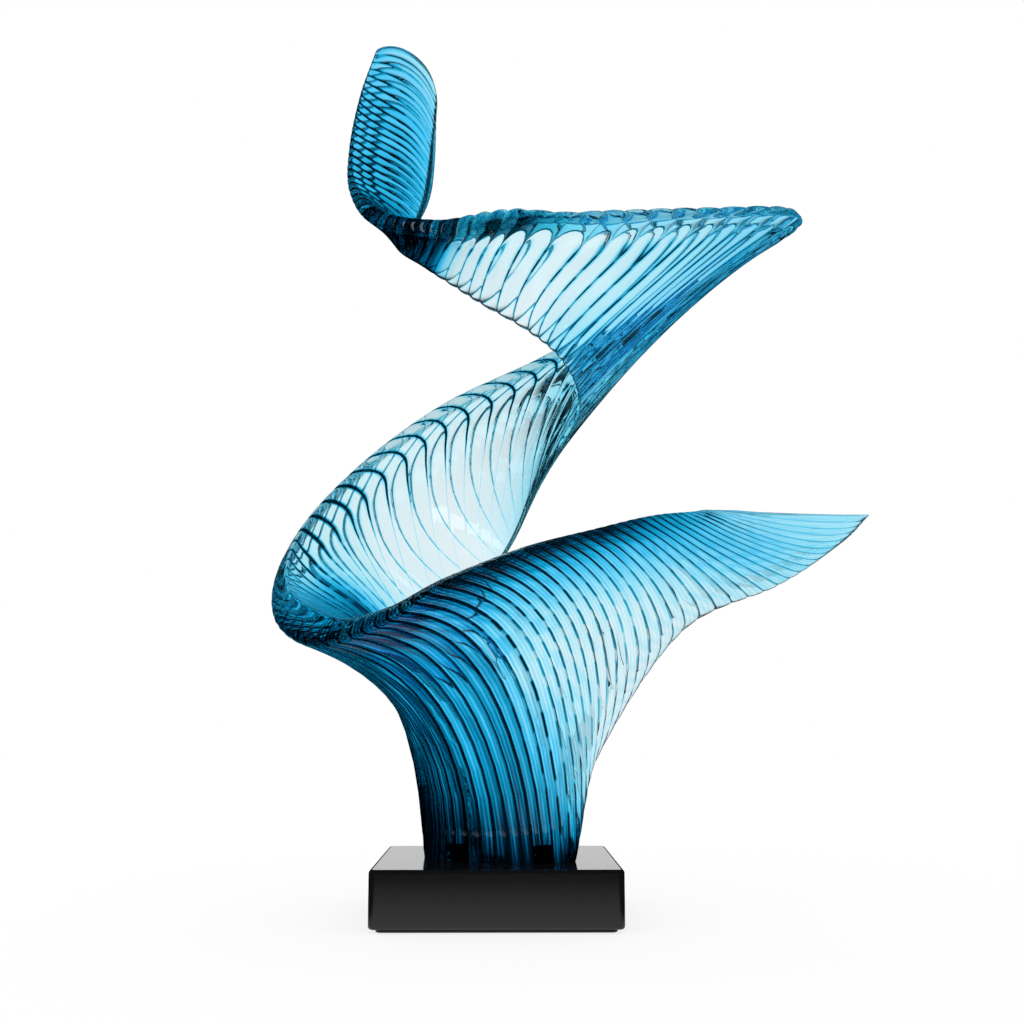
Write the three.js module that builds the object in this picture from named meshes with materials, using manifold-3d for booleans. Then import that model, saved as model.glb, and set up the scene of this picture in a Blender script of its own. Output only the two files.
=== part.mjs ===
// Abstract ribbon sculpture: one ribbed ribbon of clear blue resin, cast in one piece, on a square black plinth.
// Two cap screws come up through the plinth into blackened brass inserts cast into the ribbon's foot, and a felt
// sheet glued underneath covers the screw heads. Millimetres, +Z up, +Y away from the viewer, origin at the middle of
// the felt's resting face.
import * as THREE from 'three';
import { mergeVertices } from 'three/addons/utils/BufferGeometryUtils.js';
import Module from 'manifold-3d';

const wasm = await Module();
wasm.setup();

// The plinth and its felt.
const PLINTH_WIDTH = 150;
const PLINTH_DEPTH = 150;
const PLINTH_HEIGHT = 34;
const PLINTH_CORNER = 4; // radius of the four upright edges
const PLINTH_EDGE = 2; // rounding of the top and bottom edges
const FELT_THICKNESS = 2;
const FELT_INSET = 4; // from the plinth's sides

// The ribbon's overall sizes and its section.
const RIBBON_SPAN = 400; // left fold to wing tip
const RIBBON_DEPTH = 178; // front ridge to back rim
const RIBBON_HEIGHT = 561; // foot to the top of the lobe
const RIM_THICKNESS = 26; // at the thickest stretch of the rim
const ROOT_THICKNESS = 22; // at the foot
const END_ROUND = 1.5; // rounding of the ribbon's two ends
const CORNER_POWER = 2.4; // 2 gives round edges, more gives squarer ones
const GROOVE_SHARE = 0.14; // depth of a groove against the width of its ribs
const GROOVE_LEAST = 0.25;
const GROOVE_MOST = 2.4;

// The fixings, two sets of each.
const SCREW_DIAMETER = 6;
const SCREW_HEAD_DIAMETER = 10;
const SCREW_HEAD_HEIGHT = 6;
const SCREW_SOCKET_WIDTH = 5; // across the flats of the hexagon socket
const SCREW_SOCKET_DEPTH = 3;
const WASHER_DIAMETER = 12.5;
const WASHER_THICKNESS = 1.6;
const SPRING_DIAMETER = 11;
const SPRING_THICKNESS = 1.6;
const SPRING_GAP = 1.2; // the split in a spring washer
const HOLE_CLEARANCE = 0.3; // between a shank and a hole it passes through, on the radius
const COUNTERBORE_DIAMETER = 16;
const COUNTERBORE_DEPTH = 14;
const INSERT_DIAMETER = 9;
const INSERT_LENGTH = 12;
const INSERT_END_WALL = 2;
const INSERT_GROOVE = 0.6; // depth of the two rings that key an insert into the resin
const SCREW_END_GAP = 2; // from a screw's tip to the end of its insert's bore
const FIT_GAP = 0.15; // between an insert and the resin around it, and between a thread and its insert
const FIXING_STATIONS = [16.9, 18.4]; // where along the foot the left and right fixings are

const FELT_TOP = FELT_THICKNESS;
const SEAT = FELT_TOP + PLINTH_HEIGHT; // the plinth's top, where the foot stands

// The ribbon is given by stations from the top lobe to the wing tip. Each one is a rib: its rim, two points a third
// and two thirds of the way down it, and its root, in mm from the middle of the plinth's top. Then come the rim's and
// the root's share of the thicknesses above, and the number of ribs up to the next station.
const STATIONS = [
  [[-88, 14, 556], [-68, 15, 558], [-50, 16, 542], [-44, 18, 514], 0.38, 0.32, 7], // top of the lobe
  [[-98, 10, 522], [-75, 13, 519], [-56, 17, 506], [-45, 22, 480], 0.46, 0.36, 7],
  [[-104, 4, 481], [-82, 10, 482], [-62, 17, 473], [-48, 24, 454], 0.5, 0.38, 6],
  [[-101, -6, 446], [-84, 6, 448], [-68, 18, 445], [-56, 30, 437], 0.46, 0.36, 6],
  [[-80, -24, 419], [-76, -2, 421], [-73, 20, 423], [-69, 42, 423], 0.46, 0.36, 6], // twist under the lobe
  [[-38, -42, 405], [-41, -18, 407], [-46, 10, 407], [-51, 36, 406], 0.5, 0.38, 5],
  [[14, -56, 407], [3, -36, 397], [-5, -8, 387], [-12, 20, 374], 0.92, 0.55, 3], // upper pass, in front
  [[65, -70, 402], [48, -52, 385], [32, -24, 369], [21, 2, 348], 0.92, 0.45, 4],
  [[130, -60, 409], [103, -46, 383], [70, -28, 352], [43, -12, 323], 0.7, 0.41, 5],
  [[205, -14, 426], [154, -14, 391], [99, -12, 344], [54, -8, 296], 0.4, 0.36, 5], // right tip
  [[165, 36, 411], [122, 26, 370], [79, 16, 318], [42, 8, 270], 0.62, 0.41, 4],
  [[104, 68, 380], [73, 50, 338], [45, 30, 290], [25, 14, 238], 0.85, 0.45, 4], // middle pass, behind
  [[37, 86, 346], [20, 64, 306], [10, 38, 259], [11, 18, 207], 0.92, 0.55, 4],
  [[-36, 92, 313], [-42, 70, 269], [-33, 44, 223], [-6, 26, 178], 1, 0.64, 4],
  [[-100, 74, 264], [-92, 58, 222], [-72, 43, 183], [-28, 33, 127], 1, 0.7, 5],
  [[-141, 38, 210], [-122, 34, 176], [-82, 27, 145], [-40, 20, 56], 1, 0.75, 6],
  [[-144, 0, 166], [-106, 3, 143], [-55, 0, 96], [-38, -2, -18], 1, 0.85, 6], // left fold
  [[-113, -32, 142], [-73, -26, 125], [-33, -24, 76], [-22, -22, -18], 0.92, 1, 5],
  [[-75, -56, 148], [-34, -48, 134], [1, -38, 81], [18, -30, -17], 0.85, 1, 5], // stem, in front
  [[-35, -66, 170], [7, -60, 152], [33, -44, 99], [43, -24, -14], 0.85, 0.91, 6],
  [[14, -68, 190], [47, -60, 168], [64, -42, 126], [56, -14, 51], 0.77, 0.73, 7],
  [[59, -60, 203], [90, -52, 185], [111, -34, 163], [117, -6, 142], 0.69, 0.64, 6],
  [[96, -46, 213], [131, -38, 194], [166, -20, 181], [186, 2, 177], 0.54, 0.55, 6],
  [[124, -30, 217], [158, -24, 206], [196, -8, 199], [231, 8, 204], 0.38, 0.45, 5],
  [[133, -18, 219], [170, -14, 219], [210, -2, 220], [250, 10, 222], 0.27, 0.36, 0], // wing tip
];
const DRAWN_SIZE = [400, 178, 561]; // span, depth and height of the stations above
const POINTS_PER_RIB = 4;
const RIM_COLUMN = 4;
const ROOT_COLUMN = 5;
const RIB_COLUMN = 6;
const LAST_STATION = STATIONS.length - 1;

// How finely the ribbon is drawn.
const CORNER_STEPS = 3;
const FACE_STEPS = 3;
const SIDE_STEP = 0.02; // stations either side of a rib, for the direction along the ribbon
const NORMAL_RANGE = [0.2, 0.84]; // beyond this share of a rib its normal is carried on unchanged
const ROUND_SEGMENTS = 24;

const { clamp, lerp } = THREE.MathUtils;

function closedSolid(geometry) {
  const bare = geometry.clone();
  bare.deleteAttribute('normal');
  bare.deleteAttribute('uv');
  const merged = mergeVertices(bare, 1e-5);
  const positions = merged.attributes.position.array;
  let triangles = Uint32Array.from(merged.index.array);
  const corner = (i) => new THREE.Vector3().fromArray(positions, 3 * triangles[i]);
  const isFlat = (i) => {
    const [a, b, c] = triangles.slice(i, i + 3);
    return a === b || b === c || c === a;
  };
  const kept = [];
  let volume = 0;
  for (let i = 0; i < triangles.length; i += 3) {
    if (isFlat(i)) continue;
    kept.push(triangles[i], triangles[i + 1], triangles[i + 2]);
    volume += corner(i).dot(corner(i + 1).cross(corner(i + 2)));
  }
  if (volume < 0) {
    kept.reverse();
  }
  triangles = Uint32Array.from(kept);
  const mesh = new wasm.Mesh({ numProp: 3, vertProperties: Float32Array.from(positions), triVerts: triangles });
  return new wasm.Manifold(mesh);
}

function named(name, solid, material) {
  const shape = solid.getMesh();
  const geometry = new THREE.BufferGeometry();
  geometry.setAttribute('position', new THREE.BufferAttribute(Float32Array.from(shape.vertProperties), 3));
  geometry.setIndex(new THREE.BufferAttribute(Uint32Array.from(shape.triVerts), 1));
  geometry.computeVertexNormals();
  const mesh = new THREE.Mesh(geometry, material);
  mesh.name = name;
  return mesh;
}

// A turned solid: the profile is radius and height pairs that start and end on the axis.
function turned(profile, x, y) {
  const points = profile.map(([radius, height]) => new THREE.Vector2(radius, height));
  const geometry = new THREE.LatheGeometry(points, ROUND_SEGMENTS);
  geometry.rotateX(Math.PI / 2);
  geometry.translate(x, y, 0);
  return closedSolid(geometry);
}

function rod(radius, bottom, top, x, y) {
  return turned([[0, bottom], [radius, bottom], [radius, top], [0, top]], x, y);
}

function roundedSquare(width, depth, radius) {
  const x = width / 2;
  const y = depth / 2;
  const shape = new THREE.Shape();
  shape.moveTo(x - radius, -y);
  shape.absarc(x - radius, -y + radius, radius, -Math.PI / 2, 0);
  shape.absarc(x - radius, y - radius, radius, 0, Math.PI / 2);
  shape.absarc(-x + radius, y - radius, radius, Math.PI / 2, Math.PI);
  shape.absarc(-x + radius, -y + radius, radius, Math.PI, 1.5 * Math.PI);
  return shape;
}

function column(index, t) {
  const i = Math.min(Math.floor(t), LAST_STATION - 1);
  return lerp(STATIONS[i][index], STATIONS[i + 1][index], t - i);
}

const scale = [RIBBON_SPAN / DRAWN_SIZE[0], RIBBON_DEPTH / DRAWN_SIZE[1], RIBBON_HEIGHT / DRAWN_SIZE[2]];

// Four smooth rails run the ribbon's length, one through each of the four points of every station.
const rails = Array.from({ length: POINTS_PER_RIB }, (_, k) => {
  const points = STATIONS.map((station) => {
    const [x, y, z] = station[k];
    return new THREE.Vector3(x * scale[0], y * scale[1], SEAT + z * scale[2]);
  });
  return new THREE.CatmullRomCurve3(points, false, 'catmullrom', 0.5);
});

function blend(points, weights) {
  const sum = new THREE.Vector3();
  points.forEach((point, i) => sum.addScaledVector(point, weights[i]));
  return sum;
}

// The rib at station t: the cubic that passes through its four rails.
function ribAt(t) {
  const points = rails.map((rail) => rail.getPoint(clamp(t / LAST_STATION, 0, 1)));
  const upperHandle = blend(points, [-5 / 6, 3, -3 / 2, 1 / 3]);
  const lowerHandle = blend(points, [1 / 3, -3 / 2, 3, -5 / 6]);
  return new THREE.CubicBezierCurve3(points[0], upperHandle, lowerHandle, points[POINTS_PER_RIB - 1]);
}

const ribsBefore = [0];
for (let i = 0; i < LAST_STATION; i += 1) {
  ribsBefore.push(ribsBefore[i] + STATIONS[i][RIB_COLUMN]);
}
const RIB_COUNT = ribsBefore[LAST_STATION];

function stationOfRib(rib) {
  const wanted = clamp(rib, 0, RIB_COUNT);
  let i = 0;
  while (i < LAST_STATION - 1 && ribsBefore[i + 1] < wanted) i += 1;
  return i + (wanted - ribsBefore[i]) / STATIONS[i][RIB_COLUMN];
}

// The steps down one side of a section: how far along the rib, and the share of the full thickness there.
function sideSteps(rimHalf, rootHalf, length) {
  const corner = Array.from({ length: CORNER_STEPS + 1 }, (_, i) => {
    const angle = (i / CORNER_STEPS) * (Math.PI / 2);
    return {
      along: 1 - Math.max(Math.cos(angle), 0) ** (2 / CORNER_POWER),
      share: Math.sin(angle) ** (2 / CORNER_POWER),
    };
  });
  const rim = corner.map(({ along, share }) => ({ s: (0.9 * rimHalf * along) / length, share }));
  const root = corner.map(({ along, share }) => ({ s: 1 - (0.9 * rootHalf * along) / length, share })).reverse();
  const face = Array.from({ length: FACE_STEPS }, (_, i) => {
    const s = lerp(rim[CORNER_STEPS].s, root[0].s, (i + 1) / (FACE_STEPS + 1));
    return { s, share: 1 };
  });
  return [...rim, ...face, ...root];
}

// One closed ring round the section. Whole rib numbers lie in the grooves and halves on the crests. thinning takes that
// much off both faces, and push moves the ring along the ribbon.
function ringAt(rib, thinning, push) {
  const t = stationOfRib(rib);
  const here = ribAt(t);
  const length = here.getLength();
  const ahead = ribAt(Math.min(t + SIDE_STEP, LAST_STATION));
  const behind = ribAt(Math.max(t - SIDE_STEP, 0));
  const nextCrest = ribAt(stationOfRib(rib + 0.5));
  const lastCrest = ribAt(stationOfRib(rib - 0.5));
  const rimHalf = (column(RIM_COLUMN, t) * RIM_THICKNESS) / 2;
  const rootHalf = (column(ROOT_COLUMN, t) * ROOT_THICKNESS) / 2;
  const front = [];
  const back = [];
  for (const { s, share } of sideSteps(rimHalf, rootHalf, length)) {
    const ribWidth = nextCrest.getPoint(s).distanceTo(lastCrest.getPoint(s));
    const groove = Number.isInteger(rib) ? clamp(GROOVE_SHARE * ribWidth, GROOVE_LEAST, GROOVE_MOST) : 0;
    const inward = s < 0.5 ? 1 : -1;
    const along = s + (inward * (1 - share) * groove) / length;
    const bounded = clamp(s, NORMAL_RANGE[0], NORMAL_RANGE[1]);
    const across = ahead.getPoint(bounded).sub(behind.getPoint(bounded)).normalize();
    const normal = here.getTangent(bounded).cross(across).normalize();
    const half = share * Math.max(lerp(rimHalf, rootHalf, s) - groove - thinning, 0.5);
    const centre = here.getPoint(along).addScaledVector(across, push);
    front.push(centre.clone().addScaledVector(normal, half));
    back.push(centre.clone().addScaledVector(normal, -half));
  }
  return [...front, ...back.slice(1, -1).reverse()];
}

function ribbonSolid() {
  const rings = [ringAt(0, END_ROUND, -END_ROUND)];
  for (let i = 0; i <= 2 * RIB_COUNT; i += 1) {
    rings.push(ringAt(i / 2, 0, 0));
  }
  rings.push(ringAt(RIB_COUNT, END_ROUND, END_ROUND));
  const around = rings[0].length;
  const side = around / 2;
  const index = [];
  for (let i = 0; i < rings.length - 1; i += 1) {
    for (let j = 0; j < around; j += 1) {
      const a = i * around + j;
      const b = i * around + ((j + 1) % around);
      index.push(a, b, b + around, a, b + around, a + around);
    }
  }
  for (const [first, turn] of [[0, false], [(rings.length - 1) * around, true]]) {
    for (let k = 0; k < side; k += 1) {
      const f0 = first + k;
      const f1 = first + k + 1;
      const b0 = first + ((around - k) % around);
      const b1 = first + around - k - 1;
      const cap = [[f0, b1, f1], [f0, b0, b1]];
      for (const triangle of cap) {
        if (new Set(triangle).size === 3) index.push(...(turn ? triangle.reverse() : triangle));
      }
    }
  }
  const geometry = new THREE.BufferGeometry();
  geometry.setAttribute('position', new THREE.Float32BufferAttribute(rings.flat().flatMap((p) => p.toArray()), 3));
  geometry.setIndex(index);
  return closedSolid(geometry);
}

// Where the middle of the foot's wall meets the plinth's top, for the axis of a fixing.
function footPoint(station) {
  const rib = ribAt(station);
  let low = 0.5;
  let high = 1;
  for (let i = 0; i < 40; i += 1) {
    const middle = (low + high) / 2;
    if (rib.getPoint(middle).z > SEAT) low = middle;
    else high = middle;
  }
  const point = rib.getPoint(low);
  return [point.x, point.y];
}

const counterboreTop = FELT_TOP + COUNTERBORE_DEPTH;
const washerBottom = counterboreTop - WASHER_THICKNESS;
const springBottom = washerBottom - SPRING_THICKNESS;
const headBottom = springBottom - SCREW_HEAD_HEIGHT;
const insertTop = SEAT + INSERT_LENGTH;
const boreTop = insertTop - INSERT_END_WALL;
const screwTop = boreTop - SCREW_END_GAP;
const shank = SCREW_DIAMETER / 2;
const fixings = FIXING_STATIONS.map(footPoint);

function screwSolid(x, y) {
  const head = SCREW_HEAD_DIAMETER / 2;
  const body = turned(
    [
      [0, headBottom],
      [head - 0.6, headBottom],
      [head, headBottom + 0.6],
      [head, springBottom],
      [shank, springBottom],
      [shank, screwTop - 1],
      [shank - 1, screwTop],
      [0, screwTop],
    ],
    x,
    y,
  );
  const acrossCorners = SCREW_SOCKET_WIDTH / Math.cos(Math.PI / 6);
  const socket = new THREE.CylinderGeometry(acrossCorners / 2, acrossCorners / 2, 2 * SCREW_SOCKET_DEPTH, 6);
  socket.rotateX(Math.PI / 2);
  socket.translate(x, y, headBottom);
  return body.subtract(closedSolid(socket));
}

function washerSolid(x, y) {
  const disc = rod(WASHER_DIAMETER / 2, washerBottom, counterboreTop, x, y);
  return disc.subtract(rod(shank + HOLE_CLEARANCE, washerBottom - 1, counterboreTop + 1, x, y));
}

function springWasherSolid(x, y) {
  const disc = rod(SPRING_DIAMETER / 2, springBottom, washerBottom, x, y);
  const ring = disc.subtract(rod(shank + HOLE_CLEARANCE, springBottom - 1, washerBottom + 1, x, y));
  const split = new THREE.BoxGeometry(SPRING_DIAMETER, SPRING_GAP, 4 * SPRING_THICKNESS);
  split.translate(x + SPRING_DIAMETER / 2, y, springBottom);
  return ring.subtract(closedSolid(split));
}

function insertSolid(x, y) {
  const outer = INSERT_DIAMETER / 2;
  const inner = shank + FIT_GAP;
  const keyed = outer - INSERT_GROOVE;
  const profile = [[0, insertTop], [outer, insertTop]];
  for (const share of [0.7, 0.4]) {
    const height = SEAT + share * INSERT_LENGTH;
    profile.push([outer, height], [keyed, height - 0.5], [keyed, height - 2], [outer, height - 2.5]);
  }
  profile.push([outer, SEAT], [inner, SEAT], [inner, boreTop], [0, boreTop]);
  return turned(profile, x, y);
}

function plinthSolid() {
  const geometry = new THREE.ExtrudeGeometry(roundedSquare(PLINTH_WIDTH, PLINTH_DEPTH, PLINTH_CORNER), {
    depth: PLINTH_HEIGHT - 2 * PLINTH_EDGE,
    curveSegments: 4,
    bevelEnabled: true,
    bevelThickness: PLINTH_EDGE,
    bevelSize: PLINTH_EDGE,
    bevelOffset: -PLINTH_EDGE,
    bevelSegments: 3,
  });
  geometry.translate(0, 0, FELT_TOP + PLINTH_EDGE);
  let solid = closedSolid(geometry);
  for (const [x, y] of fixings) {
    solid = solid.subtract(rod(shank + HOLE_CLEARANCE, 0, SEAT + 1, x, y));
    solid = solid.subtract(rod(COUNTERBORE_DIAMETER / 2, 0, counterboreTop, x, y));
  }
  return solid;
}

function feltSolid() {
  const outline = roundedSquare(PLINTH_WIDTH - 2 * FELT_INSET, PLINTH_DEPTH - 2 * FELT_INSET, PLINTH_CORNER);
  const sheet = { depth: FELT_THICKNESS, curveSegments: 4, bevelEnabled: false };
  return closedSolid(new THREE.ExtrudeGeometry(outline, sheet));
}

// The ribbon stands flat on the plinth, so everything below the seat is cut away, and the inserts' holes are cut out.
function standingRibbon() {
  const below = new THREE.BoxGeometry(2 * RIBBON_SPAN, 2 * RIBBON_DEPTH, RIBBON_HEIGHT);
  below.translate(0, 0, SEAT - RIBBON_HEIGHT / 2);
  let solid = ribbonSolid().subtract(closedSolid(below));
  for (const [x, y] of fixings) {
    solid = solid.subtract(rod(INSERT_DIAMETER / 2 + FIT_GAP, SEAT - 1, insertTop + FIT_GAP, x, y));
  }
  return solid;
}

function surface(name, color, roughness, metalness) {
  return new THREE.MeshStandardMaterial({ name, color, roughness, metalness });
}

const resin = surface('clear_blue_resin', 0x2f9fd0, 0.08, 0);
const lacquer = surface('black_lacquer', 0x16181a, 0.12, 0);
const felt = surface('black_felt', 0x1b1b1c, 1, 0);
const steel = surface('zinc_plated_steel', 0xb8bcc0, 0.35, 1);
const brass = surface('blackened_brass', 0x2a2622, 0.5, 1);

const sculpture = new THREE.Group();
sculpture.name = 'ribbon_sculpture';
sculpture.add(named('resin_ribbon', standingRibbon(), resin));
sculpture.add(named('plinth', plinthSolid(), lacquer));
sculpture.add(named('felt_sheet', feltSolid(), felt));
['left', 'right'].forEach((side, i) => {
  const [x, y] = fixings[i];
  sculpture.add(named(`fixing_screw_${side}`, screwSolid(x, y), steel));
  sculpture.add(named(`flat_washer_${side}`, washerSolid(x, y), steel));
  sculpture.add(named(`spring_washer_${side}`, springWasherSolid(x, y), steel));
  sculpture.add(named(`threaded_insert_${side}`, insertSolid(x, y), brass));
});

export default sculpture;
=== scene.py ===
"""Abstract ribbon sculpture: a ribbed ribbon of clear blue cast resin on a square gloss black plinth.

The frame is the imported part. Metres, +Z up, +Y away from the viewer, origin at the middle of the resting
face. Surfaces are worked out in millimetres and put into meshes in metres.
"""
import math
from types import SimpleNamespace

import bmesh
import bpy
import numpy as np
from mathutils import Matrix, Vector


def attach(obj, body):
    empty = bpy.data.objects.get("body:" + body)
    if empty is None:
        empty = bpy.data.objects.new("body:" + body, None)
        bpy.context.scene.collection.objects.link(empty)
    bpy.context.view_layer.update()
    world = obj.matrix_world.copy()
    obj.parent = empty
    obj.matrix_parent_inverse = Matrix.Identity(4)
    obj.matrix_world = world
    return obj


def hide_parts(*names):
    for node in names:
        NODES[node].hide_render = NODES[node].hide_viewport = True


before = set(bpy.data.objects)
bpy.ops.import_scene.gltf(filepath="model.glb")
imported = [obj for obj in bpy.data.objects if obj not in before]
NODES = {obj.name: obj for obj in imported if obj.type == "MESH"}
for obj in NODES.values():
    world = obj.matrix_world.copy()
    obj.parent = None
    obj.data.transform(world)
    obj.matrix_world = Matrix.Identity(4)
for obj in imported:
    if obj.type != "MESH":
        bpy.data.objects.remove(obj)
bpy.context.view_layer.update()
MM = 0.001

# The plinth and the felt, in mm. The felt's cut edge wanders in waves: how many go round, and where each
# starts.
PLINTH_SIDE = 150.0
PLINTH_HEIGHT = 34.0
PLINTH_CORNER = 4.0
FELT_THICKNESS = 2.0
FELT_INSET = 4.0
FELT_SIDE = PLINTH_SIDE - 2 * FELT_INSET
FELT_SIDE_STEPS = 80
FELT_EDGE_STEPS = 7
FELT_NAP = 0.06
FELT_WAVES = ((37, 0), (91, 1))
SEAT = FELT_THICKNESS + PLINTH_HEIGHT

# The ribbon, from the top of the lobe to the wing tip. Each row is a rib: rim, two points down it, and
# root, in mm from the middle of the plinth's top; then the half thickness at rim and root and the ribs up
# to the next row.
STATIONS = np.array([
    [-88, 14, 556, -68, 15, 558, -50, 16, 542, -44, 18, 514, 5.0, 3.5, 7],
    [-98, 10, 522, -75, 13, 519, -56, 17, 506, -45, 22, 480, 6.0, 4.0, 7],
    [-104, 4, 481, -82, 10, 482, -62, 17, 473, -48, 24, 454, 6.5, 4.2, 6],
    [-101, -6, 446, -84, 6, 448, -68, 18, 445, -56, 30, 437, 6.0, 4.0, 6],
    [-80, -24, 419, -76, -2, 421, -73, 20, 423, -69, 42, 423, 6.0, 4.0, 6],
    [-38, -42, 405, -41, -18, 407, -46, 10, 407, -51, 36, 406, 6.5, 4.2, 5],
    [14, -56, 407, 3, -36, 397, -5, -8, 387, -12, 20, 374, 12.0, 6.0, 3],
    [65, -70, 402, 48, -52, 385, 32, -24, 369, 21, 2, 348, 12.0, 5.0, 4],
    [130, -60, 409, 103, -46, 383, 70, -28, 352, 43, -12, 323, 9.1, 4.5, 5],
    [205, -14, 426, 154, -14, 391, 99, -12, 344, 54, -8, 296, 5.2, 4.0, 5],
    [165, 36, 411, 122, 26, 370, 79, 16, 318, 42, 8, 270, 8.1, 4.5, 4],
    [104, 68, 380, 73, 50, 338, 45, 30, 290, 25, 14, 238, 11.0, 5.0, 4],
    [37, 86, 346, 20, 64, 306, 10, 38, 259, 11, 18, 207, 12.0, 6.0, 4],
    [-36, 92, 313, -42, 70, 269, -33, 44, 223, -6, 26, 178, 13.0, 7.0, 4],
    [-100, 74, 264, -92, 58, 222, -72, 43, 183, -28, 33, 127, 13.0, 7.7, 5],
    [-141, 38, 210, -122, 34, 176, -82, 27, 145, -40, 20, 56, 13.0, 8.3, 6],
    [-144, 0, 166, -106, 3, 143, -55, 0, 96, -38, -2, -18, 13.0, 9.4, 6],
    [-113, -32, 142, -73, -26, 125, -33, -24, 76, -22, -22, -18, 12.0, 11.0, 5],
    [-75, -56, 148, -34, -48, 134, 1, -38, 81, 18, -30, -17, 11.0, 11.0, 5],
    [-35, -66, 170, 7, -60, 152, 33, -44, 99, 43, -24, -14, 11.0, 10.0, 6],
    [14, -68, 190, 47, -60, 168, 64, -42, 126, 56, -14, 51, 10.0, 8.0, 7],
    [59, -60, 203, 90, -52, 185, 111, -34, 163, 117, -6, 142, 9.0, 7.0, 6],
    [96, -46, 213, 131, -38, 194, 166, -20, 181, 186, 2, 177, 7.0, 6.0, 6],
    [124, -30, 217, 158, -24, 206, 196, -8, 199, 231, 8, 204, 4.9, 5.0, 5],
    [133, -18, 219, 170, -14, 219, 210, -2, 220, 250, 10, 222, 3.5, 4.0, 0],
], float)
POINT_COLUMNS = 12
POINTS = STATIONS[:, :POINT_COLUMNS].reshape(-1, 4, 3) + (0.0, 0.0, SEAT)
RIM_HALF, ROOT_HALF, RIBS_TO_NEXT = STATIONS[:, POINT_COLUMNS:].T
STATION_INDEX = np.arange(len(STATIONS), dtype=float)
RIB_NUMBER = np.concatenate([[0.0], np.cumsum(RIBS_TO_NEXT[:-1])])
RIB_COUNT = int(RIB_NUMBER[-1])

# In the next three tables the first column is the station. Where a name holds two columns, they are those
# of the front and of the back.
STATION = 0
FRONT, BACK = 0, 1

# The dye along the ribbon, with painted shade in it: the dark bands along the rim and the near-black fold
# under the lobe are painted shade. It is given at the rim, on the face, in the middle and at the root, which
# lie at DYE_AND_SHADE_SHARES of the rib. It counts as full from 1 up, so that a row with more at the rim has
# a wider painted dark edge.
DYE_AND_SHADE = np.array([
    [0, 0.40, 0.34, 0.30, 0.28],
    [1, 0.42, 0.45, 0.43, 0.38],
    [2, 0.44, 0.50, 0.50, 0.45],
    [3, 0.50, 0.53, 0.52, 0.48],
    # From here to station 5.1 the fold under the lobe is near black: painted shade.
    [3.7, 0.92, 0.90, 0.88, 0.86],
    [5.1, 0.92, 0.90, 0.88, 0.86],
    [5.3, 0.98, 0.30, 0.30, 0.30],
    [5.5, 0.99, 0.10, 0.10, 0.10],
    [6, 0.98, 0.06, 0.06, 0.06],
    [7, 0.44, 0.04, 0.04, 0.04],
    [8, 0.30, 0.16, 0.18, 0.30],
    [9, 0.36, 0.42, 0.44, 0.36],
    [10, 0.44, 0.44, 0.44, 0.34],
    [11, 0.50, 0.24, 0.26, 0.36],
    [12, 0.20, 0.05, 0.04, 0.18],
    [13, 0.06, 0.02, 0.01, 0.03],
    [14, 0.08, 0.04, 0.04, 0.12],
    [14.6, 0.10, 0.10, 0.26, 0.50],
    [15, 0.14, 0.22, 0.84, 0.92],
    [16, 0.44, 0.62, 0.80, 0.90],
    [17, 0.76, 0.66, 0.62, 0.78],
    [18.2, 0.88, 0.64, 0.58, 0.70],
    [18.6, 0.88, 0.60, 0.30, 0.62],
    # Rim values from 1 up paint a wide dark band along the upper edge: painted shade.
    [19, 1.10, 0.50, 0.14, 0.54],
    [19.6, 1.20, 0.48, 0.11, 0.24],
    [20, 1.20, 0.46, 0.10, 0.03],
    [21, 1.15, 0.46, 0.18, 0.04],
    [21.5, 0.98, 0.47, 0.27, 0.10],
    [22, 0.80, 0.48, 0.36, 0.16],
    [23, 0.48, 0.40, 0.36, 0.26],
    [24, 0.30, 0.28, 0.26, 0.24],
])
DYE_AND_SHADE_COLUMNS = (1, 2, 3, 4)
DYE_AND_SHADE_SHARES = (0.0, 0.22, 0.55, 1.0)

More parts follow.
